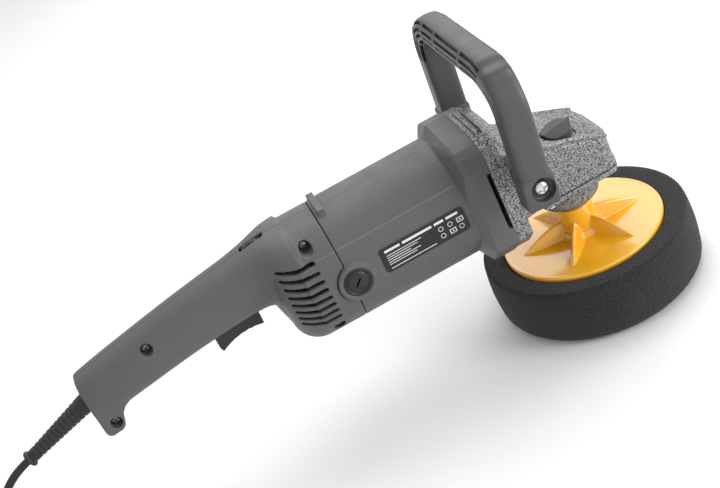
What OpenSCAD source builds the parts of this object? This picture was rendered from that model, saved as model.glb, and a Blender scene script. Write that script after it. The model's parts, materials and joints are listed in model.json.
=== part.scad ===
// Rotary polisher: a motor body with a bevel gear head, a loop handle, a rear switch handle,
// a foam polishing pad on a ribbed backing plate, and a mains lead that lies coiled behind it.
// Frame: origin where the spindle axis meets the pad's working face, +Z up the spindle,
// +X towards the nose, the rear handle towards -X. Millimetres.

/* [Polishing pad] */
// Diameter of the foam pad at its widest
pad_d = 164; // [160:1:168]
// Height of the foam pad
pad_h = 49; // [46:1:50]
// Diameter of the backing plate
plate_d = 125; // [122:1:128]
// Thickness of the backing plate
plate_t = 6; // [5:0.5:6]
// Radius of the backing plate's hub
hub_r = 14.5; // [14:0.5:15]
// Number of ribs on the backing plate
rib_count = 6; // [5:1:8]

/* [Motor body] */
// Radius of the motor housing
motor_r = 46; // [46:0.5:47]
// Wall of the motor housing
motor_wall = 4; // [3.5:0.5:4]
// Half width of the square collar in front of the motor
collar_half_w = 50; // [49:0.5:51]
// Length of the rating label
label_l = 66; // [40:1:68]

/* [Rear handle] */
// Wall of the handle shells
shell_wall = 3; // [2.6:0.2:3]
// Number of louvre slots on each side
vent_count = 8; // [4:1:8]

/* [Loop handle] */
// Outer width of the loop handle
loop_w = 170; // [166:1:176]
// Thickness of its legs
leg_t = 18; // [16:1:19]
// Forward lean of the loop handle
loop_lean = 4; // [2:1:5]

/* [Gears] */
// Teeth on the bevel gear
gear_teeth = 36; // [36:36:36]
// Teeth on the bevel pinion
pinion_teeth = 9; // [9:9:9]

/* [Mains lead] */
// Diameter of the lead
cord_d = 6; // [5.6:0.1:6]
// Distance between the centres of the two plug pins
pin_pitch = 19; // [19:1:19]

/* [Hidden] */

$fn = 96;
eps = 0.01;          // overlap that joins two solids of one node
over = 1;            // how far a cutter runs past a face
fit = 0.05;          // radial running clearance of a shaft in its bore
loose = 0.3;         // gap between parts that only pass each other

// heights along the spindle axis
plate_top = 50;
hub_top = 74;
boss_bottom = 79;
cover_z = [97, 101];
axis_z = 130;        // height of the motor axis
insert_r = 9;
thread_r = 7;
journal_r = 6;
top_journal_r = 3.5;
bearing_or = 16;
bearing_z = [83, 93];

// stations along the motor axis
collar_x = [-76, -59];
flange_front = -47;
flange_screw_end = -72;
seam_x = -177;
spigot_x = -187;
brush_x = -173.4;
core_x = [-152, -102];
fan_x = [-90, -79];
bulge_x = -226;
bulge_round = 20;
bore_r = motor_r - motor_wall;
label_seat = motor_r - 0.4;
shaft_r = 5;
tail_r = 3;
pinion_bore_r = 2.5;
core_r = 24.5;
air_gap = 1;
front_bearing_x = [-52, -44];
front_bearing_or = 13;
rear_bearing_x = [-196, -189];
rear_bearing_or = 9.5;

// the two handle halves: [x, height of centre, half width, half height]
HANDLE = [
    [-380, 128.5, 15, 19], [-366, 131, 16.5, 19.5], [-340, 135.5, 17.5, 20], [-300, 142, 18, 20.8],
    [-270, 146, 18.5, 21.6], [-250, 148.2, 19.5, 22.2], [-240, 149.3, 20.5, 22.9],
    [-232, 149.6, 22.5, 24], [-224, 148, 27, 27], [-214, 144, 35, 32], [-202, 139, 41, 37]
];
handle_bulge = 2.7;  // exponent of the handle's rounded section
handle_sides = 36;
station_steps = 3;
hook_x = [-380, -364];
hook_bottom = 97;
hook_half_w = 13;
// handle screws: [x, z, depth of the counterbore's floor below the centre plane]
SCREWS = [[-369.5, 106, 7.5], [-324, 147.5, 11], [-197.5, 100, 27], [-194, 164, 23]];
screw_r = 2;
screw_head_r = 3.8;
screw_hole_r = 4.5;

// spindle lock
lock_at = [4, -9];
button_at = [5, -12];
lock_r = 11.5;
lock_travel = 4;
pocket_z = 132.5;    // floor of the pocket that the lock button sits in

// screws of the square flange: [y, height above the motor axis]
FLANGE_SCREWS = [[37, 34], [-40, 36], [38, -35], [-38, -35]];
// screws of the bearing cover: [x, y]
COVER_SCREWS = [[26, 24], [26, -24], [-22, 26], [-22, -26]];

// bevel gears share an apex where the two axes cross
cone_r = [19, 25.5];
gear_half_angle = atan(gear_teeth / pinion_teeth);
pinion_half_angle = 90 - gear_half_angle;
tooth_module = 2 * cone_r[1] * sin(gear_half_angle) / gear_teeth;
addendum_a = atan(tooth_module / cone_r[1]);
dedendum_a = atan(1.25 * tooth_module / cone_r[1]);

// loop handle
loop_x = -40;
bolt_z = 146;
leg_w = 22;
loop_top = 240;
grip_h = 20;
bend_r = 29;
foot_bottom = 133;
foot_inner = 50.5;
loop_round = 6;
bolt_r = 3;
bolt_head_r = 5;
counterbore_r = 8.8;

// strain relief and lead
relief_at = [-379, 0, 126.5];
relief_tilt = 18.5;
relief_l = 62;
relief_r = [7.6, 4.6];
relief_ring_r = 6.4;
cord_r = cord_d / 2;
cord_sides = 10;
relief_end = [relief_at[0] - relief_l * cos(relief_tilt), 0,
    relief_at[2] - relief_l * sin(relief_tilt)];
// the lead's free run, down to the floor and round to the coil's outer turn
ROUTE = [
    relief_end, [-446, 0, 104], [-456, 0, 99], [-467, 0, 90], [-477, 0, 78], [-484, 0, 65], [-490, 0, 51],
    [-496, 0, 36], [-504, -1, 21], [-515, -6, 9], [-526, -16, 4], [-534, -29, 3], [-538, -44, 3],
    [-539, -60, 3]
];
coil_at = [-500, -60];
coil_r = 33;
coil_columns = 3;
coil_layers = 3;
coil_half_w = coil_columns * cord_d / 2;
coil_h = coil_layers * cord_d;
// the lead's tail, from the coil's top turn down to the plug
TAIL = [[-539, -60, 15], [-539.5, -71, 14], [-540, -81, 12], [-540, -91, 11], [-540, -100, 11]];
plug_at = [-540, -100, 11];
plug_l = 40;
plug_w = 34;
plug_h = 20;
pin_r = 2.4;
pin_l = 19;

// ---------------------------------------------------------------- helpers

module along_x(x0, z = 0) {
    translate([x0, 0, z]) rotate([0, 90, 0]) children();
}

// a rod from x0 to x1 about the motor axis
module axle_rod(x0, x1, r) {
    along_x(x0, axis_z) cylinder(h = x1 - x0, r = r);
}

module axle_ring(x0, x1, r_out, r_in) {
    difference() {
        axle_rod(x0, x1, r_out);
        axle_rod(x0 - over, x1 + over, r_in);
    }
}

// a rod from y0 to y1 at a place beside the motor
module cross_rod(x, z, y0, y1, r) {
    translate([x, y1, z]) rotate([90, 0, 0]) cylinder(h = y1 - y0, r = r);
}

module both_sides() {
    children();
    mirror([0, 1, 0]) children();
}

// a side view, drawn in x and z, given a thickness from y0 to y1
module side_slab(y0, y1) {
    translate([0, y1, 0]) rotate([90, 0, 0]) linear_extrude(height = y1 - y0) children();
}

// an end view, drawn in y and z about the motor axis, given a length from x0 to x1
module end_slab(x0, x1) {
    translate([x0, 0, axis_z]) rotate([90, 0, 90]) linear_extrude(height = x1 - x0) children();
}

// a profile of [x, r] points turned about the motor axis
module turned_x(points) {
    translate([0, 0, axis_z]) rotate([0, 90, 0]) rotate_extrude() polygon([for (p = points) [p[1], p[0]]]);
}

function arc(cx, cy, r, a0, a1, n) =
    [for (i = [0:n]) [cx + r * cos(a0 + (a1 - a0) * i / n), cy + r * sin(a0 + (a1 - a0) * i / n)]];

// smooth interpolation through a list of rows
function spline_row(rows, i, t) =
    let (a = rows[max(i - 1, 0)], b = rows[i], c = rows[i + 1], d = rows[min(i + 2, len(rows) - 1)])
    0.5 * (2 * b + (c - a) * t + (2 * a - 5 * b + 4 * c - d) * t * t
        + (3 * b - a - 3 * c + d) * t * t * t);
function spline(rows, steps) =
    concat([for (i = [0:len(rows) - 2], k = [0:steps - 1]) spline_row(rows, i, k / steps)],
        [rows[len(rows) - 1]]);

function unit(v) = v / norm(v);
function signed_power(v, e) = sign(v) * pow(abs(v), e);

// skins a stack of equal rings of points, with flat ends
module skin(rings) {
    n = len(rings[0]);
    m = len(rings);
    polyhedron(
        points = [for (r = rings) each r],
        faces = concat(
            [[for (k = [0:n - 1]) k]],
            [for (i = [0:m - 2], k = [0:n - 1])
                each [
                    [i * n + k, (i + 1) * n + k, (i + 1) * n + (k + 1) % n],
                    [i * n + k, (i + 1) * n + (k + 1) % n, i * n + (k + 1) % n]
                ]],
            [[for (k = [0:n - 1]) m * n - 1 - k]]
        )
    );
}

// a round tube swept along a list of points that bends gently
module sweep(points, r, sides) {
    last = len(points) - 1;
    skin([for (i = [0:last])
        let (
            t = unit(points[min(i + 1, last)] - points[max(i - 1, 0)]),
            s = unit(cross(t, [1, 0.3, -1])),
            u = cross(s, t)
        )
        [for (k = [0:sides - 1])
            points[i] + r * (cos(360 * k / sides) * s + sin(360 * k / sides) * u)]]);
}

// ---------------------------------------------------------------- polishing pad and spindle

module foam_pad() {
    top_r = pad_d / 2 - 2.5;
    round_r = 11;
    seat_r = plate_d / 2 + loose;
    color("#2f3033") rotate_extrude() polygon(concat(
        [[0, 0]],
        arc(pad_d / 2 - round_r - 1.5, round_r, round_r, -90, -10, 8),
        [[pad_d / 2, pad_h * 0.5], [pad_d / 2 - 1, pad_h * 0.8]],
        [[top_r, pad_h - 1.5], [top_r - 1.5, pad_h], [seat_r, pad_h],
            [seat_r, plate_top - plate_t], [0, plate_top - plate_t]]
    ));
}

// one rib: a ridge that sweeps down from the hub to a point
module plate_rib() {
    root_h = 13;
    root_w = 7;
    tip_r = 49;
    inner_r = hub_r - 2;
    steps = 6;
    skin([for (i = [0:steps])
        let (
            t = i / steps,
            x = inner_r + (tip_r - inner_r) * t,
            w = root_w * pow(1 - t, 0.8) + 0.3,
            h = root_h * pow(1 - t, 1.3) + 0.3
        )
        [[x, -w, plate_top - 0.5], [x, w, plate_top - 0.5], [x, 0.25, plate_top + h],
            [x, -0.25, plate_top + h]]]);
}

module backing_plate() {
    plate_r = plate_d / 2;
    bottom = plate_top - plate_t;
    color("#f5b324") difference() {
        union() {
            rotate_extrude() polygon([
                [0, bottom], [plate_r - 1, bottom], [plate_r, bottom + 1], [plate_r, plate_top - 1],
                [plate_r - 1, plate_top], [hub_r + 3.5, plate_top], [hub_r + 2, plate_top + 4],
                [hub_r, plate_top + 5], [hub_r - 0.5, hub_top], [0, hub_top]
            ]);
            for (i = [0:rib_count - 1]) rotate(-4 + i * 360 / rib_count) plate_rib();
        }
        translate([0, 0, bottom - over]) cylinder(h = hub_top, r = insert_r);
    }
}

module hub_insert() {
    color("silver") difference() {
        translate([0, 0, plate_top - plate_t]) cylinder(h = hub_top - plate_top + plate_t, r = insert_r);
        translate([0, 0, plate_top]) cylinder(h = hub_top, r = thread_r + fit);
    }
}

module spindle() {
    gear_seat = 100;
    color("silver") rotate_extrude() polygon([
        [0, plate_top + 2], [thread_r - 1, plate_top + 2], [thread_r, plate_top + 3], [thread_r, hub_top],
        [11, hub_top], [11, hub_top + 2.5], [8, hub_top + 3], [8, bearing_z[0]],
        [journal_r, bearing_z[0]], [journal_r, gear_seat + 24], [top_journal_r, gear_seat + 24],
        [top_journal_r, 131], [0, 131]
    ]);
}

// a point on a bevel gear: distance from the apex, cone angle, angle about the axis
function cone_point(r, a, phi) = [r * sin(a) * cos(phi), r * sin(a) * sin(phi), -r * cos(a)];

// straight teeth that taper to the apex; tooth half angles at root and tip
module bevel_teeth(count, half_angle, root_half, tip_half, first) {
    sink = 1.2;
    for (i = [0:count - 1]) {
        phi = first + i * 360 / count;
        skin([for (r = cone_r) [
            cone_point(r, half_angle - dedendum_a - sink, phi - root_half),
            cone_point(r, half_angle - dedendum_a - sink, phi + root_half),
            cone_point(r, half_angle + addendum_a, phi + tip_half),
            cone_point(r, half_angle + addendum_a, phi - tip_half)
        ]]);
    }
}

module bevel_gear() {
    root = gear_half_angle - dedendum_a;
    hub = 14;
    top = -5;
    lock_hole_r = 2.6;
    color("dimgray") difference() {
        translate([0, 0, axis_z]) union() {
            rotate_extrude() polygon([
                [0, -28], [hub, -28], [hub, -19], [cone_r[1] * sin(root), -15],
                [cone_r[1] * sin(root), -cone_r[1] * cos(root)],
                [cone_r[0] * sin(root), -cone_r[0] * cos(root)],
                [hub + 1.5, top - 1], [hub, top], [0, top]
            ]);
            bevel_teeth(gear_teeth, gear_half_angle, 2.9, 0.7, 5);
        }
        translate([0, 0, 90]) cylinder(h = 60, r = journal_r);
        for (i = [0:3]) rotate(i * 90)
            translate([lock_at[0], lock_at[1], axis_z + top - 9]) cylinder(h = 12, r = lock_hole_r);
    }
}

module gear_clip() {
    color("darkgray") difference() {
        translate([0, 0, 100]) cylinder(h = 2, r = journal_r + 3);
        translate([0, 0, 99]) cylinder(h = 4, r = journal_r);
    }
}

// ---------------------------------------------------------------- armature

module bevel_pinion() {
    root = pinion_half_angle - dedendum_a;
    hub_back = -33;
    color("gray") difference() {
        translate([0, 0, axis_z]) rotate([0, 90, 0]) union() {
            rotate_extrude() polygon([
                [0, hub_back], [5.6, hub_back], [5.6, -27], [cone_r[1] * sin(root), -cone_r[1] * cos(root)],
                [cone_r[0] * sin(root), -cone_r[0] * cos(root)], [0, -cone_r[0] * cos(root)]
            ]);
            bevel_teeth(pinion_teeth, pinion_half_angle, 10, 2.4, 0);
        }
        axle_rod(-40, -10, pinion_bore_r);
    }
}

module pinion_nut() {
    nut_x = -cone_r[0] * cos(pinion_half_angle - dedendum_a) + loose;
    color("silver") difference() {
        along_x(nut_x, axis_z) cylinder(h = 2.6, r = 3.5, $fn = 6);
        axle_rod(nut_x - over, nut_x + 5, pinion_bore_r);
    }
}

module armature_shaft() {
    color("silver") turned_x([
        [rear_bearing_x[0], 0], [rear_bearing_x[0], tail_r], [-186, tail_r], [-186, shaft_r],
        [-33, shaft_r], [-33, pinion_bore_r], [-14.5, pinion_bore_r], [-14.5, 0]
    ]);
}

module armature_core() {
    slots = 12;
    color("slategray") difference() {
        axle_ring(core_x[0], core_x[1], core_r, shaft_r);
        for (i = [0:slots - 1]) translate([0, 0, axis_z]) rotate([i * 360 / slots, 0, 0])
            translate([core_x[0] - over, -1, core_r - 3]) cube([core_x[1] - core_x[0] + 2 * over, 2, 5]);
    }
}

module armature_windings() {
    color("#b8692e") {
        axle_ring(core_x[0] - 9, core_x[0], core_r - 4, shaft_r);
        axle_ring(core_x[1], core_x[1] + 6, core_r - 4, shaft_r);
    }
}

module commutator() {
    bars = 24;
    color("#c98a4b") difference() {
        axle_ring(-182, -163, 13, shaft_r);
        for (i = [0:bars - 1]) translate([-183, 0, axis_z]) rotate([i * 360 / bars, 0, 0])
            translate([0, -0.3, 12.2]) cube([16, 0.6, 2]);
    }
}

module cooling_fan() {
    blades = 13;
    fan_r = 38;
    color("#3a3a3a") difference() {
        union() {
            axle_rod(fan_x[0], fan_x[1], 9);
            axle_rod(fan_x[1] - 2, fan_x[1], fan_r);
            for (i = [0:blades - 1]) translate([0, 0, axis_z]) rotate([i * 360 / blades, 0, 0])
                translate([fan_x[0] + 1, -1, 16]) rotate([12, 0, 0])
                    cube([fan_x[1] - fan_x[0] - 2, 1.6, 20]);
        }
        axle_rod(fan_x[0] - over, fan_x[1] + over, shaft_r);
    }
}

// ---------------------------------------------------------------- motor body

// end view of the square collar: one top corner is rounded, the other three are cut off
module collar_outline(grow = 0) {
    w = collar_half_w + grow;
    polygon([
        [-w, 33], [4 - w, 43], [10 - w, 48 + grow], [20 - w, 50.5 + grow], [14, 51.5 + grow],
        [w - 11, 43 + grow], [w, 28], [w, -33],
        [29, -50 - grow], [-29, -50 - grow], [-w, -33]
    ]);
}

module brush_bosses() {
    boss_r = 14;
    boss_face = 48.5;
    both_sides() cross_rod(brush_x, axis_z + 1, -boss_face, -37, boss_r);
}

module motor_housing() {
    panel_r = motor_r + 1;
    flare_x = -83;
    hub_x = -183;
    arm_x = [-188, -184.5];
    arm_w = 6;
    color("#66686b") difference() {
        union() {
            axle_rod(seam_x, collar_x[0] + over, motor_r);
            // the raised side panels, the right one behind the label
            intersection() {
                axle_rod(seam_x, flare_x, panel_r);
                translate([seam_x, -60, axis_z - 26]) cube([100, 120, 52]);
            }
            // the barrel flares out to the square collar
            hull() {
                axle_rod(flare_x, flare_x + 1, motor_r - 0.4);
                end_slab(collar_x[0] - 1, collar_x[0]) collar_outline(-1);
            }
            end_slab(collar_x[0] - eps, collar_x[1]) collar_outline();
            brush_bosses();
            // catch across the top, just in front of the seam
            translate([-175, -16, axis_z + motor_r - 6]) cube([5.5, 32, 8]);
            difference() {
                axle_rod(spigot_x, seam_x + over, bore_r - 0.5);
                axle_rod(spigot_x - over, seam_x + 2, bore_r - 3);
            }
            axle_rod(rear_bearing_x[0], hub_x, rear_bearing_or + 3);
            for (i = [0:3]) translate([arm_x[0], 0, axis_z]) rotate([45 + i * 90, 0, 0])
                translate([0, -arm_w / 2, 10]) cube([arm_x[1] - arm_x[0], arm_w, bore_r - 12]);
        }
        axle_rod(seam_x - over, collar_x[1] + over, bore_r - 3);
        axle_rod(seam_x + 3, collar_x[1] + over, bore_r);
        axle_rod(rear_bearing_x[0] - over, rear_bearing_x[1], rear_bearing_or);
        axle_rod(rear_bearing_x[1] - over, hub_x + over, 7);
        both_sides() {
            cross_rod(brush_x, axis_z + 1, -60, -47, 10.8);
            cross_rod(brush_x, axis_z + 1, -60, -20, 8);
            // air outlet at the collar's front edge
            translate([collar_x[1] - 3.2, -60, 110]) cube([10, 30, 47]);
        }
        // flat recess for the rating label
        translate([-86 - label_l - 1, -60, axis_z - 6.5]) cube([label_l + 2, 60 - label_seat, 21]);
        for (p = FLANGE_SCREWS) translate([0, p[0], p[1]]) axle_rod(flange_screw_end - 1, collar_x[1] + over, screw_r);
    }
}

module rating_label() {
    color("#1d1e20") translate([-86 - label_l, -label_seat - 0.5, axis_z - 5.5]) cube([label_l, 0.5, 19]);
}

module stator_core() {
    color("#7c8085") difference() {
        axle_rod(core_x[0], core_x[1], bore_r);
        axle_rod(core_x[0] - over, core_x[1] + over, core_r + air_gap);
        for (a = [-48, 48, 132, 228]) translate([core_x[0] - over, 0, axis_z]) rotate([a, 0, 0])
            translate([0, -6, core_r]) cube([core_x[1] - core_x[0] + 2 * over, 12, 13]);
    }
}

// one saddle coil: two straight sides in the core's windows and an arc over each end
module field_coil() {
    side_w = 9;
    for (a = [-48, 48]) translate([core_x[0] - 6, 0, axis_z]) rotate([a, 0, 0])
        translate([0, -side_w / 2, core_r + 2.5]) cube([core_x[1] - core_x[0] + 11, side_w, 9]);
    for (x = [core_x[0] - 7, core_x[1] + 1]) along_x(x, axis_z) rotate([0, 0, 180 - 48])
        rotate_extrude(angle = 96) translate([core_r + 3, 0]) square([8, 5]);
}

module field_coils() {
    color("#a45a28") {
        field_coil();
        translate([0, 0, 2 * axis_z]) mirror([0, 0, 1]) field_coil();
    }
}

module fan_baffle() {
    color("#3f4144") axle_ring(-95, -92.5, bore_r, 27);
}

module brush_holders() {
    color("#b08d4f") both_sides() difference() {
        cross_rod(brush_x, axis_z + 1, -40, -15, 7.5);
        translate([brush_x - 3.2, -41, axis_z + 1 - 4.2]) cube([6.4, 30, 8.4]);
    }
}

module carbon_brushes() {
    color("#2a2a2c") both_sides()
        translate([brush_x - 3.1, -31, axis_z + 1 - 4.1]) cube([6.2, 31 - 13.2, 8.2]);
}

module brush_caps() {
    color("#141414") both_sides() difference() {
        union() {
            cross_rod(brush_x, axis_z + 1, -47, -40, 7.95);
            cross_rod(brush_x, axis_z + 1, -48, -47, 10.4);
        }
        translate([brush_x - 5, -50, axis_z + 0.2]) cube([10, 3.4, 1.6]);
    }
}

// ---------------------------------------------------------------- gear head

// plan view of the front of the gear head: round corners and a bulging nose
function head_front(grow) = concat(
    arc(26, -23, 8 + grow, -90, -21, 5), arc(-23.5, 0, 62.5 + grow, -21, 21, 8), arc(26, 23, 8 + grow, 21, 90, 5)
);

module gear_head_outer() {
    half_w = 31;
    intersection() {
        // side view: the roof slopes down to the nose
        side_slab(-60, 60) polygon([
            [flange_front - 1, cover_z[1]], [flange_front - 1, 160], [-33, 151], [-22, 145], [-12, 142],
            [5, 138.5], [20, 132.5], [30, 128.3], [36, 125], [39.5, 120], [40.5, cover_z[1]]
        ]);
        translate([0, 0, 90]) linear_extrude(height = 80) polygon(concat(
            [[flange_front - 1, -36], [-24, -half_w]], head_front(0), [[-24, half_w], [flange_front - 1, 36]]
        ));
    }
}

module gear_housing() {
    cavity_r = 26.5;
    boss_r = 10;
    bar_w = 44;
    color("#a9adb1") difference() {
        union() {
            end_slab(collar_x[1], flange_front) collar_outline(-1);
            gear_head_outer();
            cross_rod(-38, bolt_z, -foot_inner, foot_inner, boss_r);
            for (x = [-55.5, -50.5]) translate([x, -34, axis_z + 49]) cube([2.5, bar_w, 4]);
        }
        // gear chamber, open below for the bearing cover
        rotate_extrude() polygon([
            [0, 80], [cavity_r, 80], [cavity_r, 124], [cavity_r - 0.8, 125.8], [19, 127.3], [0, 127.3]
        ]);
        axle_rod(-44 - eps, -14, 9);
        axle_rod(front_bearing_x[0], front_bearing_x[1] + eps, front_bearing_or);
        axle_rod(-58, front_bearing_x[0] + eps, front_bearing_or - 2);
        axle_rod(collar_x[1] - over, -56, 39);
        translate([0, 0, 120]) cylinder(h = 11.2, r = 6);
        translate([lock_at[0], lock_at[1], 120]) cylinder(h = 30, r = 2 + fit);
        translate([button_at[0], button_at[1], pocket_z]) cylinder(h = 20, r = lock_r + 0.8);
        both_sides() cross_rod(-38, bolt_z, -60, -36, bolt_r);
        for (p = FLANGE_SCREWS) translate([0, p[0], p[1]]) {
            axle_rod(collar_x[1] - over, flange_front + over, screw_r);
            axle_rod(flange_front - 6, flange_front + 30, 4.2);
        }
        for (p = COVER_SCREWS) translate([p[0], p[1], cover_z[1] - over]) cylinder(h = 12, r = 1.6);
    }
}

module bearing_cover() {
    lip = 0.8;
    color("#9a9ea3") difference() {
        union() {
            translate([0, 0, cover_z[0]]) linear_extrude(height = cover_z[1] - cover_z[0]) polygon(concat(
                [[-28, -31 - lip]], head_front(lip), [[-28, 31 + lip]]
            ));
            difference() {
                translate([0, 0, cover_z[1] - eps]) cylinder(h = 5, r = 26.2);
                translate([0, 0, cover_z[1]]) cylinder(h = 20, r = 22.5);
            }
            rotate_extrude() polygon(concat([[0, boss_bottom]], arc(18, boss_bottom + 6, 6, -90, 0, 7),
                [[24, cover_z[0] - 7], [25, cover_z[0] + 1], [0, cover_z[0] + 1]]));
        }
        translate([0, 0, bearing_z[0]]) cylinder(h = 40, r = bearing_or);
        translate([0, 0, boss_bottom - over]) cylinder(h = 30, r = 8.6);
        for (p = COVER_SCREWS) translate([p[0], p[1], cover_z[0] - over]) cylinder(h = 12, r = 1.9);
    }
}

module cover_screws() {
    color("gainsboro") for (p = COVER_SCREWS) translate([p[0], p[1], 0]) difference() {
        union() {
            translate([0, 0, cover_z[0] - 2.5]) cylinder(h = 2.5, r = 3);
            translate([0, 0, cover_z[0]]) cylinder(h = 14, r = 1.6);
        }
        translate([0, 0, cover_z[0] - 3]) cylinder(h = 2, r = 1.4, $fn = 6);
    }
}

module housing_screws() {
    color("gainsboro") for (p = FLANGE_SCREWS) translate([0, p[0], p[1]])
        difference() {
            union() {
                axle_rod(flange_screw_end, flange_front - 6, screw_r);
                axle_rod(flange_front - 6, flange_front - 3, 3.8);
            }
            along_x(flange_front - 5, axis_z) cylinder(h = 3, r = 1.6, $fn = 6);
        }
}

// a ball bearing drawn as one closed ring with a groove on each face
module bearing(r_out, r_in, width) {
    mid = (r_out + r_in) / 2;
    groove = (r_out - r_in) * 0.2;
    difference() {
        cylinder(h = width, r = r_out);
        translate([0, 0, -over]) cylinder(h = width + 2 * over, r = r_in);
        for (z = [-over, width - 0.8]) translate([0, 0, z]) difference() {
            cylinder(h = 0.8 + over, r = mid + groove);
            translate([0, 0, -over]) cylinder(h = 4, r = mid - groove);
        }
    }
}

module spindle_bearing() {
    color("lightsteelblue") translate([0, 0, bearing_z[0]])
        bearing(bearing_or, journal_r + fit, bearing_z[1] - bearing_z[0]);
}

module spindle_bush() {
    color("#b08d4f") difference() {
        translate([0, 0, 126]) cylinder(h = 5.2, r = 6);
        translate([0, 0, 125]) cylinder(h = 11, r = top_journal_r + fit);
    }
}

module front_bearing() {
    color("lightsteelblue") along_x(front_bearing_x[0], axis_z)
        bearing(front_bearing_or, shaft_r + fit, front_bearing_x[1] - front_bearing_x[0]);
}

module rear_bearing() {
    color("lightsteelblue") along_x(rear_bearing_x[0], axis_z)
        bearing(rear_bearing_or, tail_r + fit, rear_bearing_x[1] - rear_bearing_x[0]);
}

// ---------------------------------------------------------------- spindle lock

module lock_button() {
    base = pocket_z + lock_travel;
    color("#2b2c2e") difference() {
        // a ridge along the middle, rising forwards, with a thumb hollow on its far side
        translate([button_at[0], button_at[1], base]) intersection() {
            cylinder(h = 12, r = lock_r);
            rotate([0, -9, 0]) rotate([90, 0, 90]) translate([0, 0, -13]) linear_extrude(height = 26)
                polygon([[-12, -4], [12, -4], [12, 6.4], [9, 5.6], [6, 5.4], [3, 6], [0.5, 7.3], [-1.5, 8.6],
                    [-3, 8.4], [-12, 3.6]]);
        }
        translate([lock_at[0], lock_at[1], base - over]) cylinder(h = 3, r = 2);
    }
}

module lock_pin() {
    color("silver") translate([lock_at[0], lock_at[1], 127.5])
        cylinder(h = pocket_z + lock_travel + 2 - 127.5, r = 2);
}

// ---------------------------------------------------------------- loop handle

// rounded bar section drawn from exact arcs
module bar_section(w, d) {
    r = loop_round;
    polygon(concat(
        arc(w / 2 - r, d / 2 - r, r, 0, 90, 5), arc(r - w / 2, d / 2 - r, r, 90, 180, 5),
        arc(r - w / 2, r - d / 2, r, 180, 270, 5), arc(w / 2 - r, r - d / 2, r, 270, 360, 5)
    ));
}

module loop_half() {
    y_leg = -(loop_w - leg_t) / 2;
    z_grip = loop_top - grip_h / 2;
    z_bend = z_grip - bend_r;
    y_bend = y_leg + bend_r;
    translate([0, y_leg, foot_bottom + 14]) linear_extrude(height = z_bend - foot_bottom - 14)
        bar_section(leg_w, leg_t);
    translate([0, y_bend, z_bend]) rotate([90, 0, 90]) rotate([0, 0, 90])
        rotate_extrude(angle = 90) translate([bend_r, 0]) rotate(90) bar_section(leg_w, leg_t);
    translate([0, y_bend, z_grip]) rotate([-90, 90, 0]) linear_extrude(height = -y_bend)
        rotate(90) bar_section(leg_w, leg_t);
    // the hand grip is a little deeper than the legs
    translate([0, y_bend - 4, z_grip]) rotate([-90, 90, 0]) linear_extrude(height = 4 - y_bend)
        rotate(90) bar_section(leg_w + 1.5, grip_h);
    // foot, thickened inwards to the gear housing's boss
    cross_rod(2, bolt_z, -loop_w / 2 + 1, -foot_inner, 9.5);
    translate([-leg_w / 2, -loop_w / 2, foot_bottom]) cube([leg_w, leg_t, 20]);
}

module grip_grooves() {
    groove_w = 3;
    z_grip = loop_top - grip_h / 2;
    for (side = [0, 180], a = [6, 30, 54], y = [-42, -13.5, 15]) translate([0, 0, z_grip])
        rotate([0, 0, side]) rotate([0, -a, 0]) translate([-17, y, -groove_w / 2])
            cube([7.2, 27, groove_w]);
}

module loop_handle() {
    color("#3c3d40") translate([loop_x + 2, 0, bolt_z]) rotate([0, loop_lean, 0])
        translate([-2, 0, -bolt_z]) difference() {
            union() {
                loop_half();
                mirror([0, 1, 0]) loop_half();
            }
            grip_grooves();
            both_sides() {
                cross_rod(2, bolt_z, -90, -foot_inner + over, bolt_r + 0.3);
                cross_rod(2, bolt_z, -90, -loop_w / 2 + 5, counterbore_r);
            }
        }
}

module loop_bolts() {
    seat = loop_w / 2 - 5;
    color("gainsboro") both_sides() difference() {
        union() {
            cross_rod(-38, bolt_z, -seat, -37, bolt_r);
            cross_rod(-38, bolt_z, -seat - 3.4, -seat, bolt_head_r);
        }
        translate([-38, -seat - 1, bolt_z]) rotate([90, 0, 0]) cylinder(h = 5, r = 2.6, $fn = 6);
    }
}

// ---------------------------------------------------------------- rear handle

// superellipse sections through the handle, shrunk by the wall for the inside
module handle_loft(shrink, x_min) {
    rows = [for (s = spline(HANDLE, station_steps)) if (s[0] >= x_min) s];
    skin([for (s = rows) [for (k = [0:handle_sides - 1])
        let (a = 360 * k / handle_sides)
        [s[0],
            (s[2] - shrink) * signed_power(cos(a), 2 / handle_bulge),
            s[1] + (s[3] - shrink) * signed_power(sin(a), 2 / handle_bulge)]]]);
}

module bulge_outer(shrink = 0) {
    x_rear = bulge_x + shrink;
    r = motor_r - shrink;
    turned_x(concat([[seam_x, 0], [seam_x, r]],
        arc(x_rear + bulge_round, r - bulge_round, bulge_round, 90, 180, 10), [[x_rear - 5, 8], [x_rear - 5, 0]]));
}

// the hanging nose at the handle's rear end
module handle_hook() {
    side_slab(-hook_half_w, hook_half_w) polygon([
        [hook_x[0], 125], [hook_x[0], hook_bottom + 4], [hook_x[0] + 1, hook_bottom + 1.5],
        [hook_x[0] + 4, hook_bottom], [hook_x[1] - 4, hook_bottom + 1], [hook_x[1] - 1, hook_bottom + 3],
        [hook_x[1] + 0.5, hook_bottom + 7], [hook_x[1] + 2, 109], [hook_x[1] + 6, 114],
        [hook_x[1] + 14, 118], [hook_x[1], 125]
    ]);
}

// eight chevron louvres: level near the seam, rising towards the rear
module vent_slots() {
    slot_h = 3;
    jog = 1.6;
    for (i = [0:vent_count - 1]) {
        z = 153.5 - i * 6.2;
        rise = 2.5 + 0.45 * i;
        side_slab(-60, -24) polygon([
            [-195, z + jog - 1], [-206.5, z + jog], [-206.5, z], [-220, z + rise], [-220, z + rise + slot_h],
            [-206.5, z + slot_h], [-195, z + slot_h - 0.4]
        ]);
    }
}

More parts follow.
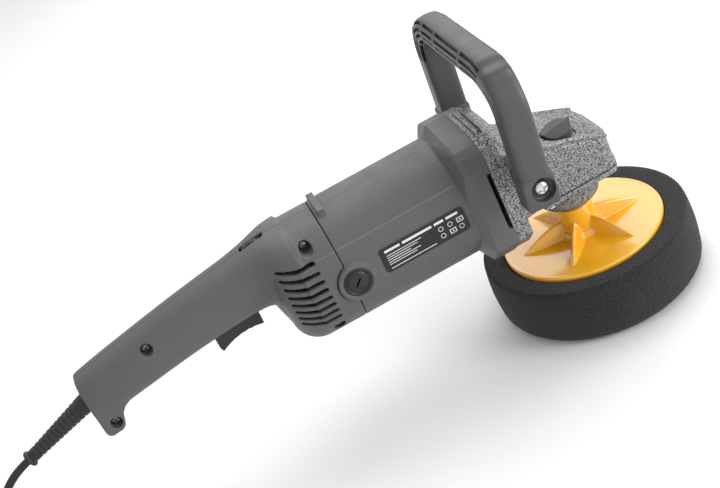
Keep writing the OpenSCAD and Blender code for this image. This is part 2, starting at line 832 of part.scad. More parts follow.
module handle_whole() {
    difference() {
        union() {
            handle_loft(0, -400);
            bulge_outer();
            handle_hook();
        }
        difference() {
            union() {
                handle_loft(shell_wall, -377);
                bulge_outer(shell_wall);
                translate([0.2, 0, 0]) axle_rod(seam_x - 3, seam_x + over, motor_r - shell_wall);
            }
            // screw pillars stay inside the shells
            for (s = SCREWS) cross_rod(s[0], s[1], -60, 60, screw_hole_r + 1.5);
            // posts under the cord clamp
            both_sides() translate([-357, -8, 100]) cylinder(h = 32, r = 3.5);
        }
        both_sides() translate([-357, -8, 124]) cylinder(h = 9, r = 1.5);
        // clearance for the brush bosses and the motor housing's rear web
        both_sides() cross_rod(brush_x, axis_z + 1, -60, -30, 14 + loose);
        both_sides() vent_slots();
        // openings for trigger, speed dial and strain relief
        translate([-281, -8.6, 100]) cube([38, 17.2, 34]);
        translate([-235, -3, 160]) cube([20, 6, 30]);
        translate(relief_at) rotate([0, -90 - relief_tilt, 0]) translate([0, 0, -12]) cylinder(h = 30, r = 7.8);
    }
}

module handle_right() {
    color("#606265") difference() {
        intersection() {
            handle_whole();
            translate([-400, -60, 60]) cube([300, 60, 140]);
        }
        for (s = SCREWS) {
            cross_rod(s[0], s[1], -60, over, screw_r + 0.3);
            cross_rod(s[0], s[1], -60, -s[2], screw_hole_r);
        }
    }
}

module handle_left() {
    color("#606265") difference() {
        intersection() {
            handle_whole();
            translate([-400, 0, 60]) cube([300, 60, 140]);
        }
        for (s = SCREWS) cross_rod(s[0], s[1], -over, 11, screw_r);
        cross_rod(-262, 150, 5, 40, 5 + loose);
    }
}

module handle_screws() {
    color("gainsboro") for (s = SCREWS) difference() {
        union() {
            cross_rod(s[0], s[1], -s[2], 10, screw_r);
            cross_rod(s[0], s[1], -s[2] - 2.4, -s[2], screw_head_r);
        }
        cross_rod(s[0], s[1], -s[2] - 4, -s[2] - 0.8, 1.4);
    }
}

module switch_body() {
    color("#26272a") difference() {
        union() {
            translate([-286, -10, 142]) cube([46, 20, 17]);
            translate([-292, -6, 146]) cube([54, 12, 9]);
        }
        translate([-262, 0, 141]) cylinder(h = 13, r = 3.4);
    }
}

module trigger() {
    half_w = 8;
    color("#17181a") union() {
        side_slab(-half_w, half_w) polygon([
            [-280.2, 133], [-280.2, 115], [-279, 111.5], [-274, 113.8], [-268, 116], [-262, 117.2],
            [-256, 117.6], [-250, 117.2], [-244, 116], [-243.8, 133]
        ]);
        translate([-262, 0, 130]) cylinder(h = 17, r = 3.1);
    }
}

module lock_on_button() {
    color("#17181a") {
        cross_rod(-262, 150, 13.6, 21.5, 5);
    }
}

module speed_dial() {
    dial_r = 12;
    ridges = 30;
    color("#1b1c1e") difference() {
        cross_rod(-225, 163.4, -2.5, 2.5, dial_r);
        for (i = [0:ridges - 1]) translate([-225, 0, 163.4]) rotate([0, i * 360 / ridges, 0])
            translate([-0.5, -3, dial_r - 0.8]) cube([1, 6, 2]);
        cross_rod(-225, 163.4, -4, 4, 2 + fit);
    }
}

module speed_module() {
    color("#35557a") {
        translate([-236, 4, 148]) cube([22, 10, 14]);
        translate([-228, 3.4, 158]) cube([6, 3, 8]);
        cross_rod(-225, 163.4, -4.5, 4, 2);
    }
}

module suppressor() {
    color("#c9b458") translate([-312, 0, 142]) rotate([0, 78, 0]) cylinder(h = 18, r = 7);
}

module inner_lead() {
    color("#1a1b1d") along_x(-368, 132) cylinder(h = 26, r = cord_r);
}

module cord_clamp() {
    color("#4a4c50") difference() {
        translate([-362, -12, 132]) cube([10, 24, 5.5]);
        along_x(-364, 132) cylinder(h = 14, r = cord_r);
        for (y = [-8, 8]) translate([-357, y, 130]) cylinder(h = 10, r = 1.5);
    }
}

module clamp_screws() {
    color("gainsboro") for (y = [-8, 8]) translate([-357, y, 0]) {
        translate([0, 0, 125]) cylinder(h = 12.5, r = 1.5);
        translate([0, 0, 137.5]) cylinder(h = 1.6, r = 2.6);
    }
}

// ---------------------------------------------------------------- mains lead

module strain_relief() {
    color("#17181a") translate(relief_at) rotate([0, -90 - relief_tilt, 0]) difference() {
        union() {
            translate([0, 0, -8]) cylinder(h = 3, r = 10);
            translate([0, 0, -6]) cylinder(h = 8, r = relief_r[0]);
            cylinder(h = relief_l, r1 = relief_r[0], r2 = relief_r[1]);
            translate([0, 0, relief_l - 2.6]) cylinder(h = 2.6, r = relief_ring_r);
        }
    }
}

module power_cord() {
    color("#141517") {
        sweep(spline(ROUTE, 3), cord_r, cord_sides);
        sweep(spline(TAIL, 3), cord_r, cord_sides);
    }
}

module cord_coil() {
    color("#141517") translate([coil_at[0], coil_at[1], 0]) rotate_extrude()
        translate([coil_r - coil_half_w, 0]) square([2 * coil_half_w, coil_h]);
}

module plug_body() {
    color("#18191b") translate(plug_at) rotate([90, 0, 0]) {
        translate([0, 0, 14]) linear_extrude(height = plug_l - 14) bar_section_plug();
        cylinder(h = 14, r1 = cord_r + 1.5, r2 = 8);
    }
}

// the plug's rounded outline, seen from its pins
module bar_section_plug() {
    r = 8;
    polygon(concat(
        arc(plug_w / 2 - r, plug_h / 2 - r, r, 0, 90, 5), arc(r - plug_w / 2, plug_h / 2 - r, r, 90, 180, 5),
        arc(r - plug_w / 2, r - plug_h / 2, r, 180, 270, 5), arc(plug_w / 2 - r, r - plug_h / 2, r, 270, 360, 5)
    ));
}

module plug_pins() {
    color("silver") for (s = [-1, 1])
        translate([plug_at[0] + s * pin_pitch / 2, plug_at[1] - plug_l - pin_l, plug_at[2]])
            rotate([-90, 0, 0]) cylinder(h = pin_l, r = pin_r);
}

foam_pad();
backing_plate();
hub_insert();
spindle();
bevel_gear();
gear_clip();
bevel_pinion();
pinion_nut();
armature_shaft();
armature_core();
armature_windings();
commutator();
cooling_fan();
motor_housing();
gear_housing();
bearing_cover();
cover_screws();
housing_screws();
spindle_bearing();
spindle_bush();
front_bearing();
rear_bearing();
stator_core();
field_coils();
fan_baffle();
brush_holders();
carbon_brushes();
brush_caps();
rating_label();
handle_right();
handle_left();
handle_screws();
switch_body();
trigger();
lock_on_button();
speed_dial();
speed_module();
suppressor();
cord_clamp();
clamp_screws();
inner_lead();
lock_button();
lock_pin();
loop_handle();
loop_bolts();
strain_relief();
power_cord();
cord_coil();
plug_body();
plug_pins();
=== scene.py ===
"""Looks of the rotary polisher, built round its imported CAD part. Lengths in the tables are millimetres."""

import json
import math

import bmesh
import bpy
import numpy as np
from mathutils import Matrix, Vector


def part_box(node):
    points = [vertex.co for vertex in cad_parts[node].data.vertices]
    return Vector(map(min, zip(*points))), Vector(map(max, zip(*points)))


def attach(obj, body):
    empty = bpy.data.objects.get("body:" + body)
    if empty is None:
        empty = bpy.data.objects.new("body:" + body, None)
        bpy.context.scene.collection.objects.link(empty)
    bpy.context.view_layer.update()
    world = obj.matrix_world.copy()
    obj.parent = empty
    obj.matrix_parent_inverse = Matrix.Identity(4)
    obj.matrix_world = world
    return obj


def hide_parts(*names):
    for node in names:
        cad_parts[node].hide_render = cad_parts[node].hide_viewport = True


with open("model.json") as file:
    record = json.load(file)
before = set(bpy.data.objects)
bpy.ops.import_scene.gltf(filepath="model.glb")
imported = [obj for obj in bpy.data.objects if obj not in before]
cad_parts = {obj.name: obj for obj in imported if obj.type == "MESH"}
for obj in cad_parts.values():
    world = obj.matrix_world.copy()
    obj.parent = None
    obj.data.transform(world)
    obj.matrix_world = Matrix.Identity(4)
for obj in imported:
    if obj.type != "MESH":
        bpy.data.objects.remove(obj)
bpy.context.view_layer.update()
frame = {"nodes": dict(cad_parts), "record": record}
NODES = frame["nodes"]
MM = 0.001
AXIS_Z = 130.0


def new_object(name, data):
    obj = bpy.data.objects.new(name, data)
    bpy.context.scene.collection.objects.link(obj)
    return obj


# ---------------------------------------------------------------- camera

def add_camera():
    place = Vector((-0.2216, -0.8140, 0.5879))
    az, el, roll = (math.radians(a) for a in (-4.56, 29.28, -26.79))
    back = Vector((math.sin(az) * math.cos(el), -math.cos(az) * math.cos(el), math.sin(el)))
    right = Vector((math.cos(az), math.sin(az), 0.0))
    up = back.cross(right)
    turned_right = math.cos(roll) * right + math.sin(roll) * up
    turned_up = math.cos(roll) * up - math.sin(roll) * right
    data = bpy.data.cameras.new("camera")
    data.lens = 65.0
    data.sensor_width = 36.0
    data.clip_start = 0.05
    cam = new_object("camera", data)
    cam.matrix_world = Matrix((
        (turned_right.x, turned_up.x, back.x, place.x),
        (turned_right.y, turned_up.y, back.y, place.y),
        (turned_right.z, turned_up.z, back.z, place.z),
        (0.0, 0.0, 0.0, 1.0)))
    bpy.context.scene.camera = cam


add_camera()


# ---------------------------------------------------------------- mesh helpers

def mesh_piece(name, verts, faces):
    """A new object from vertices in millimetres."""
    mesh = bpy.data.meshes.new(name)
    mesh.from_pydata([[c * MM for c in v] for v in verts], [], faces)
    return new_object(name, mesh)


def loft(name, rings):
    """Skins equal rings of points and caps both ends."""
    n, m = len(rings[0]), len(rings)
    faces = []
    for i in range(m - 1):
        for k in range(n):
            l = (k + 1) % n
            faces.append((i * n + k, i * n + l, (i + 1) * n + l, (i + 1) * n + k))
    faces.append(tuple(reversed(range(n))))
    faces.append(tuple(range((m - 1) * n, m * n)))
    return fix_normals(mesh_piece(name, [p for ring in rings for p in ring], faces))


def fix_normals(obj):
    """Welds doubled points and turns every face outwards."""
    bm = bmesh.new()
    bm.from_mesh(obj.data)
    bmesh.ops.remove_doubles(bm, verts=bm.verts, dist=1e-6)
    bmesh.ops.recalc_face_normals(bm, faces=bm.faces)
    if bm.calc_volume(signed=True) < 0:
        bmesh.ops.reverse_faces(bm, faces=bm.faces)
    bm.to_mesh(obj.data)
    bm.free()
    return obj


def prism(name, outline, plane, lo, hi):
    """A drawn outline given a thickness: plane "xz" is thick in y, "xy" in z, "yz" in x."""
    order = {"xz": lambda a, b, t: (a, t, b), "xy": lambda a, b, t: (a, b, t),
             "yz": lambda a, b, t: (t, a, b)}
    put = order[plane]
    return loft(name, [[put(a, b, t) for a, b in outline] for t in (lo, hi)])


def box(name, x, y, z):
    return prism(name, [(x[0], y[0]), (x[1], y[0]), (x[1], y[1]), (x[0], y[1])], "xy", z[0], z[1])


def circle(centre, side, other, r, sides):
    """Points round a centre, in the plane of two unit vectors."""
    return [tuple(centre + r * (math.cos(t) * side + math.sin(t) * other))
            for t in np.linspace(0, 2 * math.pi, sides, endpoint=False)]


def rod(name, a, b, r, sides=48, r_end=None):
    """A round rod or cone from point a to point b."""
    a, b = Vector(a), Vector(b)
    along = (b - a).normalized()
    side = along.orthogonal().normalized()
    other = along.cross(side)
    ends = ((a, r), (b, r if r_end is None else r_end))
    return loft(name, [circle(p, side, other, radius, sides) for p, radius in ends])


def lathe(name, profile, axis="z", centre=(0.0, 0.0, 0.0), sides=160):
    """Turns a profile of (place along the axis, radius); both ends are closed."""
    rings = []
    for s, r in profile:
        r = max(r, 0.02)
        ring = []
        for t in np.linspace(0, 2 * math.pi, sides, endpoint=False):
            c, d = r * math.cos(t), r * math.sin(t)
            local = (s, c, d) if axis == "x" else (c, d, s)
            ring.append(tuple(local[i] + centre[i] for i in range(3)))
        rings.append(ring)
    return loft(name, rings)


def applied(obj):
    """Applies every modifier of an object to its mesh."""
    deps = bpy.context.evaluated_depsgraph_get()
    deps.update()
    mesh = bpy.data.meshes.new_from_object(obj.evaluated_get(deps))
    obj.modifiers.clear()
    old = obj.data
    obj.data = mesh
    bpy.data.meshes.remove(old)
    return obj


def combine(obj, tools, how):
    for tool in tools:
        mod = obj.modifiers.new("combine", "BOOLEAN")
        mod.operation = how
        mod.solver = "MANIFOLD"
        mod.object = tool
        applied(obj)
        bpy.data.objects.remove(tool)
    return obj


def cut(obj, *tools):
    return combine(obj, tools, "DIFFERENCE")


def fuse(obj, *tools):
    return combine(obj, tools, "UNION")


def within(obj, *tools):
    return combine(obj, tools, "INTERSECT")


def soften(obj, voxel, rounds, keep=1.0):
    """Rebuilds a closed mesh with a voxel skin, so that its edges come out rounded like a moulding's."""
    mod = obj.modifiers.new("skin", "REMESH")
    mod.mode = "VOXEL"
    mod.voxel_size = voxel * MM
    mod.use_smooth_shade = True
    if rounds:
        smooth = obj.modifiers.new("smooth", "SMOOTH")
        smooth.factor = 0.5
        smooth.iterations = rounds
    if keep < 1.0:
        lean = obj.modifiers.new("lean", "DECIMATE")
        lean.ratio = keep
    applied(obj)
    obj.data.shade_smooth()
    return obj


def smooth_by_angle(obj, degrees=32.0):
    """Smooth faces, with sharp edges where two faces meet at more than an angle."""
    mesh = obj.data
    mesh.shade_smooth()
    bm = bmesh.new()
    bm.from_mesh(mesh)
    for edge in bm.edges:
        edge.smooth = len(edge.link_faces) == 2 and edge.calc_face_angle(0.0) < math.radians(degrees)
    bm.to_mesh(mesh)
    bm.free()
    return obj


def copy_of(node, name):
    """A closed copy of a CAD node's mesh to start a detailed piece from."""
    obj = new_object(name, NODES[node].data.copy())
    obj.data.materials.clear()
    bm = bmesh.new()
    bm.from_mesh(obj.data)
    bmesh.ops.remove_doubles(bm, verts=bm.verts, dist=2e-6)
    bm.to_mesh(obj.data)
    bm.free()
    return obj


def spline(rows, steps):
    """Smooth interpolation through rows of numbers, by Catmull and Rom."""
    rows = [np.array(r, float) for r in rows]
    out = []
    for i in range(len(rows) - 1):
        a, b, c = rows[max(i - 1, 0)], rows[i], rows[i + 1]
        d = rows[min(i + 2, len(rows) - 1)]
        for k in range(steps):
            t = k / steps
            out.append(0.5 * (2 * b + (c - a) * t + (2 * a - 5 * b + 4 * c - d) * t ** 2
                              + (3 * b - a - 3 * c + d) * t ** 3))
    return out + [rows[-1]]


def arc(cx, cy, r, a0, a1, n):
    return [(cx + r * math.cos(math.radians(a0 + (a1 - a0) * i / n)),
             cy + r * math.sin(math.radians(a0 + (a1 - a0) * i / n))) for i in range(n + 1)]


def rounded(x0, x1, y0, y1, r, n):
    """An outline round four corner arcs, whose centres lie at x0 or x1 and at y0 or y1."""
    return (arc(x1, y1, r, 0, 90, n) + arc(x0, y1, r, 90, 180, n)
            + arc(x0, y0, r, 180, 270, n) + arc(x1, y0, r, 270, 360, n))


def powered(v, p):
    """v raised to a power, with its own sign."""
    return math.copysign(abs(v) ** p, v)


def smoothstep(t):
    t = min(max(t, 0.0), 1.0)
    return t * t * (3 - 2 * t)


# ---------------------------------------------------------------- materials

class Shader:
    """A Principled material with a few node helpers on the object's own coordinates, in metres."""

    def __init__(self, name, colour, roughness, **sockets):
        self.mat = bpy.data.materials.new(name)
        self.mat.use_nodes = True
        self.tree = self.mat.node_tree
        self.out = self.tree.nodes["Principled BSDF"]
        self.out.inputs["Base Color"].default_value = (*colour, 1.0)
        self.out.inputs["Roughness"].default_value = roughness
        for key, value in sockets.items():
            self.out.inputs[key.replace("_", " ")].default_value = value
        coords = self.tree.nodes.new("ShaderNodeTexCoord")
        self.place = coords.outputs["Object"]
        self.normal = None

    def feed(self, socket, value):
        """Links another node's output to a socket, or sets the socket to a constant."""
        if isinstance(value, bpy.types.NodeSocket):
            self.tree.links.new(value, socket)
        else:
            socket.default_value = value

    def node(self, kind, **inputs):
        n = self.tree.nodes.new(kind)
        for key, value in inputs.items():
            self.feed(n.inputs[key.replace("_", " ")], value)
        return n

    def noise(self, scale, detail=2.0, rough=0.5, place=None):
        return self.node("ShaderNodeTexNoise", Vector=place or self.place, Scale=scale, Detail=detail,
                         Roughness=rough).outputs["Fac"]

    def cells(self, scale):
        return self.node("ShaderNodeTexVoronoi", Vector=self.place, Scale=scale).outputs["Distance"]

    def grey(self, fac, stops):
        """Maps a factor to grey through two stops of (place, value)."""
        n = self.node("ShaderNodeValToRGB", Fac=fac)
        for element, (at, v) in zip(n.color_ramp.elements, stops):
            element.position, element.color = at, (v, v, v, 1.0)
        return n.outputs["Color"]

    def maths(self, op, a, b=0.0):
        n = self.tree.nodes.new("ShaderNodeMath")
        n.operation = op
        for socket, value in zip(n.inputs, (a, b)):
            self.feed(socket, value)
        return n.outputs[0]

    def mix(self, fac, a, b):
        n = self.tree.nodes.new("ShaderNodeMix")
        n.data_type = "RGBA"
        for key, value in ((0, fac), (6, a), (7, b)):
            self.feed(n.inputs[key], value)
        return n.outputs[2]

    def bump(self, height, strength, distance):
        n = self.node("ShaderNodeBump", Height=height, Strength=strength, Distance=distance)
        if self.normal is not None:
            self.tree.links.new(self.normal, n.inputs["Normal"])
        self.normal = n.outputs["Normal"]
        self.tree.links.new(self.normal, self.out.inputs["Normal"])

    def link(self, value, socket):
        self.tree.links.new(value, self.out.inputs[socket])

    def edges(self):
        """0 in hollows, 1 on sharp outward corners."""
        return self.node("ShaderNodeNewGeometry").outputs["Pointiness"]


def rgba(c, k=1.0):
    return (c[0] * k, c[1] * k, c[2] * k, 1.0)


def moulded(name, colour, rough, grain=1500.0, bump=0.35, spread=0.16, edge_highlight=0.0):
    """Moulded plastic or rubber: a fine eroded grain, faint blotches and a painted highlight that lightens sharp
    edges.
    """
    s = Shader(name, colour, rough)
    blotch = s.noise(28.0, 3.0, 0.6)
    fine = s.noise(grain, 3.0, 0.65)
    tint = s.mix(blotch, rgba(colour, 1 - spread), rgba(colour, 1 + spread))
    lighter = s.mix(0.5, tint, rgba(colour, 1 + 2.2 * spread))
    tint = s.mix(s.grey(fine, [(0.38, 0.0), (0.62, 1.0)]), tint, lighter)
    # painted highlight: sharp outward edges are painted lighter, where light would catch them
    if edge_highlight:
        edge_highlight_mask = s.grey(s.edges(), [(0.53, 0.0), (0.62, edge_highlight)])
        tint = s.mix(edge_highlight_mask, tint, rgba(colour, 2.2))
    s.link(tint, "Base Color")
    s.link(s.grey(s.noise(90.0, 4.0), [(0.3, rough - 0.05), (0.7, rough + 0.07)]), "Roughness")
    s.bump(fine, bump, 0.00012)
    s.bump(s.noise(9.0, 2.0), 0.10, 0.0006)
    return s.mat


def hammered(name):
    """Silver paint that dries into bright islands with dark squiggling veins between them."""
    s = Shader(name, (0.4, 0.4, 0.4), 0.38, Metallic=0.6)
    warp = s.node("ShaderNodeTexNoise", Vector=s.place, Scale=340.0, Detail=1.0).outputs["Color"]
    shift = s.tree.nodes.new("ShaderNodeVectorMath")
    shift.operation = "MULTIPLY_ADD"
    s.tree.links.new(warp, shift.inputs[0])
    shift.inputs[1].default_value = (0.0016, 0.0016, 0.0016)
    s.tree.links.new(s.place, shift.inputs[2])
    place = shift.outputs["Vector"]
    worm = s.maths("ABSOLUTE", s.maths("SUBTRACT", s.noise(590.0, 1.5, 0.5, place), 0.5))
    island = s.grey(worm, [(0.012, 0.0), (0.080, 1.0)])
    sparkle = s.noise(2600.0, 1.0)
    bright = s.mix(sparkle, (0.15, 0.152, 0.156, 1.0), (0.50, 0.505, 0.512, 1.0))
    s.link(s.mix(island, (0.009, 0.009, 0.010, 1.0), bright), "Base Color")
    s.link(s.grey(sparkle, [(0.3, 0.34), (0.7, 0.54)]), "Roughness")
    s.bump(island, 0.6, 0.00020)
    return s.mat


def glossy(name, colour):
    """Glossy injection-moulded plastic with flow blotches, fine scuffs and a faint orange peel."""
    rough = 0.16
    s = Shader(name, colour, rough, IOR=1.62, Coat_Weight=1.0, Coat_Roughness=0.10)
    flow = s.noise(22.0, 4.0, 0.6)
    tint = s.mix(flow, rgba((colour[0] * 0.93, colour[1] * 0.86, colour[2] * 0.7)),
                 rgba((min(colour[0] * 1.04, 1.0), colour[1] * 1.08, colour[2] * 1.4)))
    s.link(tint, "Base Color")
    s.link(s.grey(s.noise(160.0, 5.0, 0.7), [(0.3, rough - 0.03), (0.75, rough + 0.10)]), "Roughness")
    s.bump(s.noise(300.0, 2.0), 0.05, 0.0003)
    s.bump(s.noise(45.0, 2.0), 0.08, 0.0008)
    return s.mat


def foam(name):
    """Open-celled polishing foam: fine dark pores in two sizes, and broad dusty blotches."""
    pit = (0.003, 0.003, 0.0035, 1.0)
    s = Shader(name, (0.02, 0.02, 0.022), 0.95, Sheen_Weight=0.12, Sheen_Roughness=0.6)
    s.out.inputs["Specular IOR Level"].default_value = 0.12
    pores = s.cells(820.0)
    walls = s.grey(pores, [(0.10, 0.0), (0.62, 1.0)])
    tint = s.mix(walls, pit, (0.029, 0.0295, 0.032, 1.0))
    small = s.grey(s.noise(900.0, 2.0, 0.7), [(0.40, 0.55), (0.60, 0.0)])
    dust = s.grey(s.noise(45.0, 4.0), [(0.35, 0.0), (0.75, 0.3)])
    tint = s.mix(dust, s.mix(small, tint, pit), (0.026, 0.0265, 0.029, 1.0))
    s.link(tint, "Base Color")
    s.bump(walls, 1.0, 0.0006)
    s.bump(s.noise(700.0, 3.0), 0.5, 0.0005)
    return s.mat


def metal(name, colour, rough, scratch=(900.0, 900.0, 40.0)):
    """Turned or plated metal with drawn scratches and tarnish."""
    s = Shader(name, colour, rough, Metallic=1.0)
    stretch = s.node("ShaderNodeMapping", Vector=s.place, Scale=scratch)
    lines = s.noise(1.0, 4.0, 0.7, stretch.outputs["Vector"])
    tarnish = s.noise(120.0, 4.0, 0.6)
    s.link(s.mix(tarnish, rgba(colour, 0.8), rgba(colour)), "Base Color")
    s.link(s.grey(lines, [(0.3, rough * 0.7), (0.7, min(rough * 1.5, 1.0))]), "Roughness")
    s.bump(lines, 0.12, 0.0001)
    return s.mat


GREY = (0.080, 0.081, 0.084)
CHARCOAL = (0.052, 0.053, 0.057)
MATS = {
    "body": moulded("grey_moulding", GREY, 0.52, edge_highlight=0.35),
    "loop": moulded("charcoal_moulding", CHARCOAL, 0.44, edge_highlight=0.3),
    "dark": moulded("dark_moulding", (0.030, 0.031, 0.033), 0.42, edge_highlight=0.25),
    "black": moulded("black_moulding", (0.010, 0.010, 0.011), 0.44),
    "rubber": moulded("black_rubber", (0.011, 0.011, 0.012), 0.50, grain=1100.0, bump=0.25),
    "label": moulded("label_film", (0.006, 0.006, 0.007), 0.55, grain=2500.0, bump=0.08),
    "print": moulded("label_print", (0.62, 0.62, 0.62), 0.5, grain=2500.0, bump=0.05),
    "paint": hammered("hammered_paint"),
    "yellow": glossy("yellow_moulding", (0.92, 0.455, 0.012)),
    "foam": foam("pad_foam"),
    "steel": metal("ground_steel", (0.62, 0.62, 0.61), 0.26),
    "gear": metal("oiled_steel", (0.20, 0.20, 0.21), 0.35),
    "screw": metal("zinc_plate", (0.74, 0.74, 0.72), 0.24, scratch=(700.0, 700.0, 700.0)),
    "lamination": metal("lamination", (0.28, 0.29, 0.31), 0.42, scratch=(2200.0, 30.0, 30.0)),
    "copper": metal("varnished_copper", (0.55, 0.22, 0.08), 0.30, scratch=(120.0, 1400.0, 1400.0)),
    "bronze": metal("bronze", (0.50, 0.34, 0.16), 0.34),
    "blue": moulded("module_case", (0.03, 0.07, 0.16), 0.45),
    "ochre": moulded("capacitor_sleeve", (0.55, 0.40, 0.12), 0.35),
}
SLOT_OF = {
    "foam": "foam", "yellow_plastic": "yellow", "steel": "steel", "dark_steel": "gear",
    "lamination": "lamination", "copper": "copper", "bronze": "bronze", "carbon": "black",
    "grey_plastic": "body", "charcoal_plastic": "loop", "hammered_paint": "paint",
    "dark_plastic": "dark", "black_plastic": "black", "black_rubber": "rubber", "label": "label",
    "screw": "screw", "module_plastic": "blue", "capacitor": "ochre", "plated_brass": "screw",
}
RECORD_SLOT = {s["node"]: s["material_slot"] for s in frame["record"]["subparts"]}


def finish_piece(obj, body, mat, *nodes, slot=None):
    """Gives a piece its material and its body, and lets it stand for CAD nodes."""
    obj.data.materials.clear()
    obj.data.materials.append(MATS[mat])
    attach(obj, body)
    if nodes:
        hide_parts(*nodes)


# ---------------------------------------------------------------- mains lead

RELIEF_AT = Vector((-379.0, 0.0, 126.5))
RELIEF_TILT = math.radians(18.5)
RELIEF_L = 62.0
RELIEF_DIR = Vector((-math.cos(RELIEF_TILT), 0.0, -math.sin(RELIEF_TILT)))
RELIEF_END = RELIEF_AT + RELIEF_L * RELIEF_DIR
CORD_D = 6.0
COIL_AT = (-500.0, -60.0)
ROUTE = [
    tuple(RELIEF_END), (-446, 0, 104), (-456, 0, 99), (-467, 0, 90), (-477, 0, 78), (-484, 0, 65),
    (-490, 0, 51), (-496, 0, 36), (-504, -1, 21), (-515, -6, 9), (-526, -16, 4), (-534, -29, 3),
    (-538, -44, 3)]
TAIL = [(-539.5, -71, 14), (-540, -81, 12), (-540, -91, 11), (-540, -100, 11)]
# radius and height of each turn, one beside or on the one before
TURNS = [(39, 3), (33, 3), (27, 3), (27, 9), (27, 15), (33, 15), (33, 9), (39, 9), (39, 15)]
STEPS_PER_TURN = 24


def coil_points():
    points = []
    for i, (r, z) in enumerate(TURNS):
        nr, nz = TURNS[min(i + 1, len(TURNS) - 1)]
        for k in range(STEPS_PER_TURN):
            t = k / STEPS_PER_TURN
            s = smoothstep((t - 0.75) / 0.25)
            radius, height = r + (nr - r) * s, z + (nz - z) * s
            a = math.pi + 2 * math.pi * t
            points.append((COIL_AT[0] + radius * math.cos(a), COIL_AT[1] + radius * math.sin(a), height))
    last_r, last_z = TURNS[-1]
    return points + [(COIL_AT[0] - last_r, COIL_AT[1], last_z)]


def add_cord():
    path = ROUTE + coil_points() + TAIL
    curve = bpy.data.curves.new("mains_lead", "CURVE")
    curve.dimensions = "3D"
    curve.bevel_depth = CORD_D / 2 * MM
    curve.bevel_resolution = 5
    curve.resolution_u = 4
    curve.use_fill_caps = True
    line = curve.splines.new("BEZIER")
    line.bezier_points.add(len(path) - 1)
    for point, p in zip(line.bezier_points, path):
        point.co = Vector(p) * MM
        point.handle_left_type = point.handle_right_type = "AUTO"
    obj = new_object("mains_lead", curve)
    length = sum((Vector(b) - Vector(a)).length for a, b in zip(path, path[1:])) * MM
    return obj, length


def relief_shape():
    """The tapered grommet, ribbed round, and the collar that the housing holds."""
    side = Vector((0.0, 1.0, 0.0))
    other = RELIEF_DIR.cross(side)
    ribs, first, last, rib_depth = 11, 9.0, 55.0, 0.55
    root, tip = 7.6, 4.6
    stations = [(-8.0, 9.8), (-5.2, 9.8), (-5.0, root), (0.0, root)]
    for t in np.arange(0.5, RELIEF_L - 3.0, 0.35):
        r = root + (tip - root) * t / RELIEF_L
        if first < t < last:
            phase = 2 * math.pi * ribs * (t - first) / (last - first)
            r -= rib_depth * max(0.0, math.sin(phase)) ** 0.6
        stations.append((t, r))
    stations += [(RELIEF_L - 2.9, 4.9), (RELIEF_L - 2.5, 6.0), (RELIEF_L - 1.9, 6.4), (RELIEF_L - 0.9, 6.4),
                 (RELIEF_L - 0.3, 6.0), (RELIEF_L, 5.0), (RELIEF_L, 3.0)]
    obj = loft("grommet", [circle(RELIEF_AT + float(t) * RELIEF_DIR, side, other, float(r), 48)
                           for t, r in stations])
    obj.data.shade_smooth()
    return obj


plug = soften(copy_of("plug_body", "plug"), 0.8, 6)
finish_piece(plug, "housing", "rubber", "plug_body")
lead, lead_length = add_cord()
finish_piece(lead, "housing", "rubber", "power_cord", "cord_coil")
finish_piece(relief_shape(), "housing", "rubber", "strain_relief")


# ---------------------------------------------------------------- rear handle

HANDLE = [
    (-380, 128.5, 15, 19), (-366, 131, 16.5, 19.5), (-340, 135.5, 17.5, 20), (-300, 142, 18, 20.8),
    (-270, 146, 18.5, 21.6), (-250, 148.2, 19.5, 22.2), (-240, 149.3, 20.5, 22.9),
    (-232, 149.6, 22.5, 24), (-224, 148, 27, 27), (-214, 144, 35, 32), (-202, 139, 41, 37)]
HANDLE_POWER = 2 / 2.7
SEAM_X = -177.0
BRUSH_X = -173.4
BRUSH_Z = AXIS_Z + 1
MOTOR_R = 46.0
SHELL = 3.0
# x, z, and how far the floor of the counterbore lies from the middle plane
SCREWS = [(-369.5, 106, 7.5), (-324, 147.5, 11), (-197.5, 100, 27), (-194, 164, 23)]
PANEL_HALF = 26.0


def handle_loft(shrink, first):
    """The grip, smaller all round by a shrink, from a first station on."""
    rings = []
    for x, z, w, h in spline(HANDLE, 8):
        if x < first:
            continue
        ring = []
        for a in np.linspace(0, 2 * math.pi, 96, endpoint=False):
            c, s = math.cos(a), math.sin(a)
            ring.append((x, (w - shrink) * powered(c, HANDLE_POWER), z + (h - shrink) * powered(s, HANDLE_POWER)))
        rings.append(ring)
    return loft("loft", rings)


def bulge(shrink, front):
    """The round end of the handle that closes the motor."""
    rear, round_r, r = -226 + shrink, 20, MOTOR_R - shrink
    profile = [(rear - 5, 0), (rear - 5, 8)]
    profile += [(x, y) for x, y in arc(rear + round_r, r - round_r, round_r, 180, 90, 16)]
    return lathe("bulge", profile + [(front, r), (front, 0)], "x", (0, 0, AXIS_Z))


def hook():
    """The lug below the cord's exit."""
    x0, x1, bottom = -380.0, -364.0, 97.0
    return prism("hook", [
        (x0, 125), (x0, bottom + 4), (x0 + 1, bottom + 1.5), (x0 + 4, bottom), (x1 - 4, bottom + 1),
        (x1 - 1, bottom + 3), (x1 + 0.5, bottom + 7), (x1 + 2, 109), (x1 + 6, 114), (x1 + 14, 118),
        (x1 + 14, 125)], "xz", -13, 13)


def side_panel(front, rear):
    """The flat-edged panel that stands a millimetre proud along both sides."""
    panel = lathe("panel", [(rear, 0), (rear, MOTOR_R + 0.9), (front, MOTOR_R + 0.9), (front, 0)], "x",
                  (0, 0, AXIS_Z))
    return within(panel, box("clip", (rear - 1, front + 1), (-60, 60),
                             (AXIS_Z - PANEL_HALF, AXIS_Z + PANEL_HALF)))


